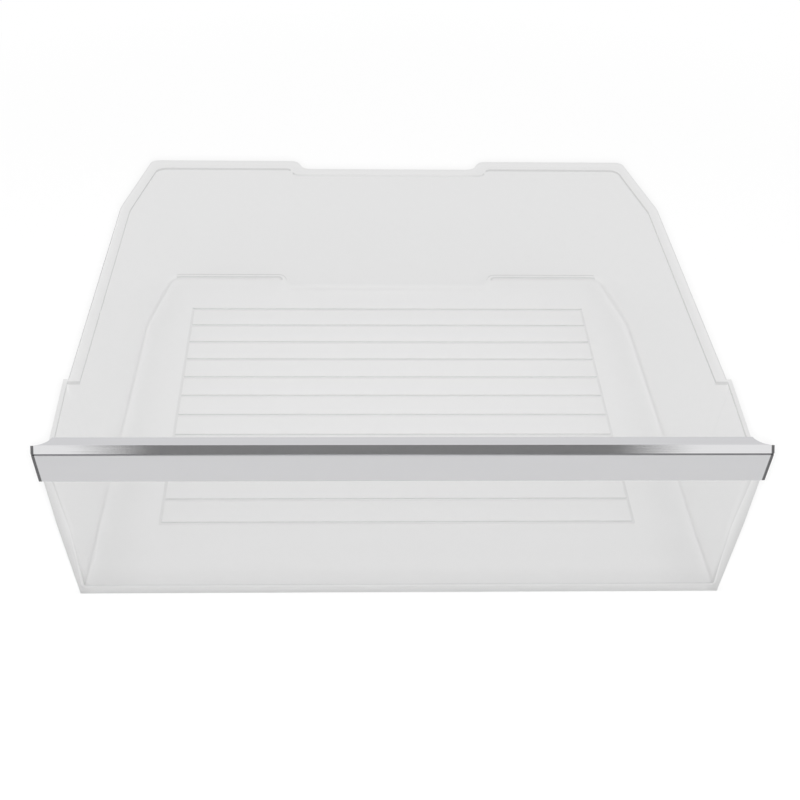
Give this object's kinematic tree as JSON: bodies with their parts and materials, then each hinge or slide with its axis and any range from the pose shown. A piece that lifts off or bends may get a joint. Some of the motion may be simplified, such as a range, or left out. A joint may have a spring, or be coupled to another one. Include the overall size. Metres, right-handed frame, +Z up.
{
  "type": "fridge chiller drawer",
  "caption": "Clear open-topped fridge drawer with drafted walls, a ribbed floor, a rim flange that runs on side rails and a silver handle trim along the front.",
  "frame": {"origin": "centre of the overall box in plan, at the underside of the floor", "axes": "+Z up, -Y towards the front wall and its handle trim, +X to the right seen from the front"},
  "size_m": [0.4008, 0.3972, 0.1104],
  "materials": {
    "clear_bin": "clear moulded polystyrene, glossy",
    "silver_trim": "satin silver with a polished bevel",
    "dark_cap": "dark grey, matte"
  },
  "bodies": {
    "root": {"drawer_bin": "clear_bin", "handle_trim": "silver_trim", "end_cap_left": "dark_cap", "end_cap_right": "dark_cap"}
  },
  "joints": []
}
